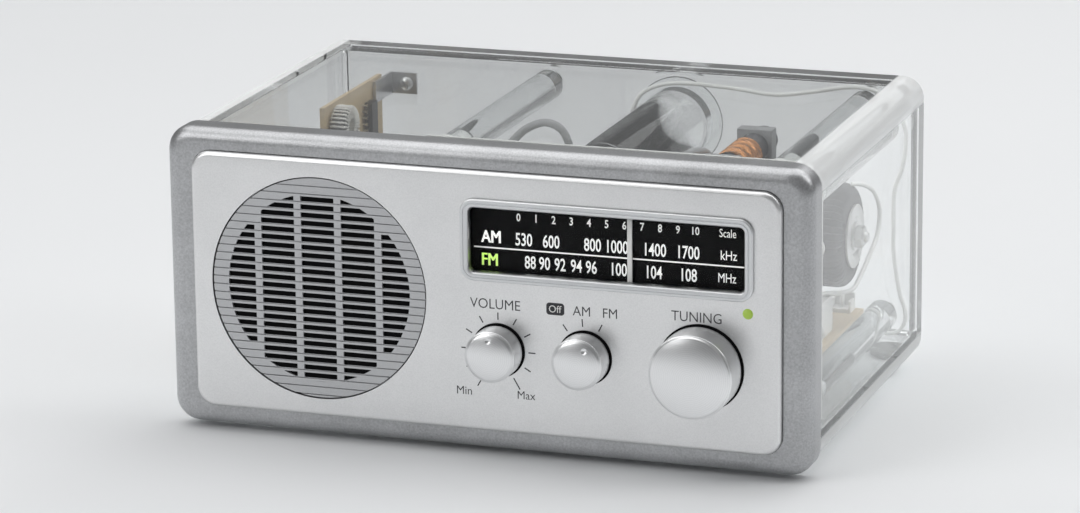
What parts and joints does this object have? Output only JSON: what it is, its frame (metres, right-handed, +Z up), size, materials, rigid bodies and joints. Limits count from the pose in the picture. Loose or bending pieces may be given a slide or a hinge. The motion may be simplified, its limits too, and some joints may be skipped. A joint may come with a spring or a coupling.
{
  "type": "table radio",
  "caption": "Table-top AM and FM radio with a clear acrylic cabinet, silver front, slotted round speaker grille, black slide-rule dial and knobs for volume, band and tuning.",
  "frame": {"origin": "middle of the box's underside, on the surface the feet stand on", "axes": "+X to the right seen from the front, +Y from the front to the back, +Z up"},
  "size_m": [0.24, 0.1776, 0.112],
  "materials": {
    "clear_acrylic": "polished clear acrylic",
    "silver_moulding": "satin silver paint on moulded plastic",
    "satin_aluminium": "bead-blasted satin aluminium",
    "grille_silver": "satin grey paint",
    "black_cloth": "woven acoustic cloth",
    "dial_black": "black printed plastic",
    "lamp_green": "tinted lamp lens",
    "white_plastic": "moulded nylon",
    "grey_plastic": "moulded plastic",
    "black_plastic": "moulded plastic",
    "black_paper": "pressed paper pulp",
    "rubber": "moulded rubber",
    "bright_steel": "zinc-plated steel",
    "ferrite": "sintered ferrite",
    "circuit_board": "resin-bonded paper board",
    "copper_winding": "enamelled copper wire",
    "white_lead": "insulated wire",
    "grey_lead": "insulated cable",
    "black_cord": "braided cord"
  },
  "bodies": {
    "cabinet": {"cabinet_shell": "clear_acrylic", "back_panel": "clear_acrylic", "tie_rod_lower_left": "clear_acrylic", "tie_rod_lower_right": "clear_acrylic", "tie_rod_upper_left": "clear_acrylic", "tie_rod_upper_right": "clear_acrylic", "dial_lens": "clear_acrylic", "port_tube": "clear_acrylic", "front_bezel": "silver_moulding", "front_plate": "satin_aluminium", "dial_frame": "satin_aluminium", "speaker_grille": "grille_silver", "grille_cloth": "black_cloth", "dial_scale": "dial_black", "tuning_lamp": "lamp_green", "tuner_chassis": "white_plastic", "tuning_capacitor": "white_plastic", "white_block": "white_plastic", "ferrite_holder": "grey_plastic", "jack_plate": "black_plastic", "jack_block": "black_plastic", "mains_inlet": "black_plastic", "mains_transformer": "black_plastic", "foot_front_left": "rubber", "foot_front_right": "rubber", "foot_rear_left": "rubber", "foot_rear_right": "rubber", "speaker_surround": "rubber", "speaker_basket": "bright_steel", "speaker_yoke": "bright_steel", "volume_pot": "bright_steel", "band_switch": "bright_steel", "pointer_rail": "bright_steel", "scale_backing": "bright_steel", "board_stand": "bright_steel", "transformer_bracket": "bright_steel", "amp_bracket": "bright_steel", "speaker_magnet": "ferrite", "ferrite_bar": "ferrite", "main_board": "circuit_board", "amp_board": "circuit_board", "ferrite_coil": "copper_winding", "tuning_bush": "copper_winding", "choke_coil": "copper_winding", "aerial_wire": "white_lead", "speaker_lead": "grey_lead", "control_cable": "grey_lead", "dial_cord": "black_cord"},
    "volume_dial": {"volume_knob": "satin_aluminium", "volume_spindle": "bright_steel"},
    "band_dial": {"band_knob": "satin_aluminium", "band_spindle": "bright_steel"},
    "tuning_dial": {"tuning_knob": "satin_aluminium", "tuning_shaft": "bright_steel"},
    "drum": {"dial_drum": "grey_plastic"},
    "left_idler": {"idler_left": "white_plastic"},
    "right_idler": {"idler_right": "white_plastic"},
    "pointer": {"dial_pointer": "white_plastic"},
    "cone": {"speaker_cone": "black_paper"}
  },
  "joints": [
    {"name": "volume_turn", "type": "hinge", "parent": "cabinet", "child": "volume_dial", "pos_m": [0.0063, -0.0735, 0.04], "axis": [0, 1, 0], "range_deg": [-150, 150]},
    {"name": "band_turn", "type": "hinge", "parent": "cabinet", "child": "band_dial", "pos_m": [0.0384, -0.0735, 0.04], "axis": [0, 1, 0], "range_deg": [-60, 0]},
    {"name": "tuning_turn", "type": "hinge", "parent": "cabinet", "child": "tuning_dial", "pos_m": [0.0806, -0.0735, 0.04], "axis": [0, 1, 0], "range_deg": [-687, 407]},
    {"name": "drum_turn", "type": "hinge", "parent": "cabinet", "child": "drum", "pos_m": [0.018, -0.0455, 0.0625], "axis": [0, 1, 0], "range_deg": [-113, 67]},
    {"name": "left_idler_turn", "type": "hinge", "parent": "cabinet", "child": "left_idler", "pos_m": [0, -0.0455, 0.087], "axis": [0, 1, 0], "range_deg": [-619, 367]},
    {"name": "right_idler_turn", "type": "hinge", "parent": "cabinet", "child": "right_idler", "pos_m": [0.097, -0.0455, 0.087], "axis": [0, 1, 0], "range_deg": [-619, 367]},
    {"name": "pointer_slide", "type": "slide", "parent": "cabinet", "child": "pointer", "axis": [1, 0, 0], "range_m": [-0.0432, 0.0256]},
    {"name": "cone_travel", "type": "slide", "parent": "cabinet", "child": "cone", "axis": [0, 1, 0], "range_m": [-0.0015, 0.0015], "stiffness_N_per_m": 600}
  ],
  "couplings": [
    {"joint": "pointer_slide", "follows": "tuning_turn", "m_per_rad": 0.0036},
    {"joint": "drum_turn", "follows": "tuning_turn", "ratio": 0.16438},
    {"joint": "left_idler_turn", "follows": "tuning_turn", "ratio": 0.9},
    {"joint": "right_idler_turn", "follows": "tuning_turn", "ratio": 0.9}
  ]
}
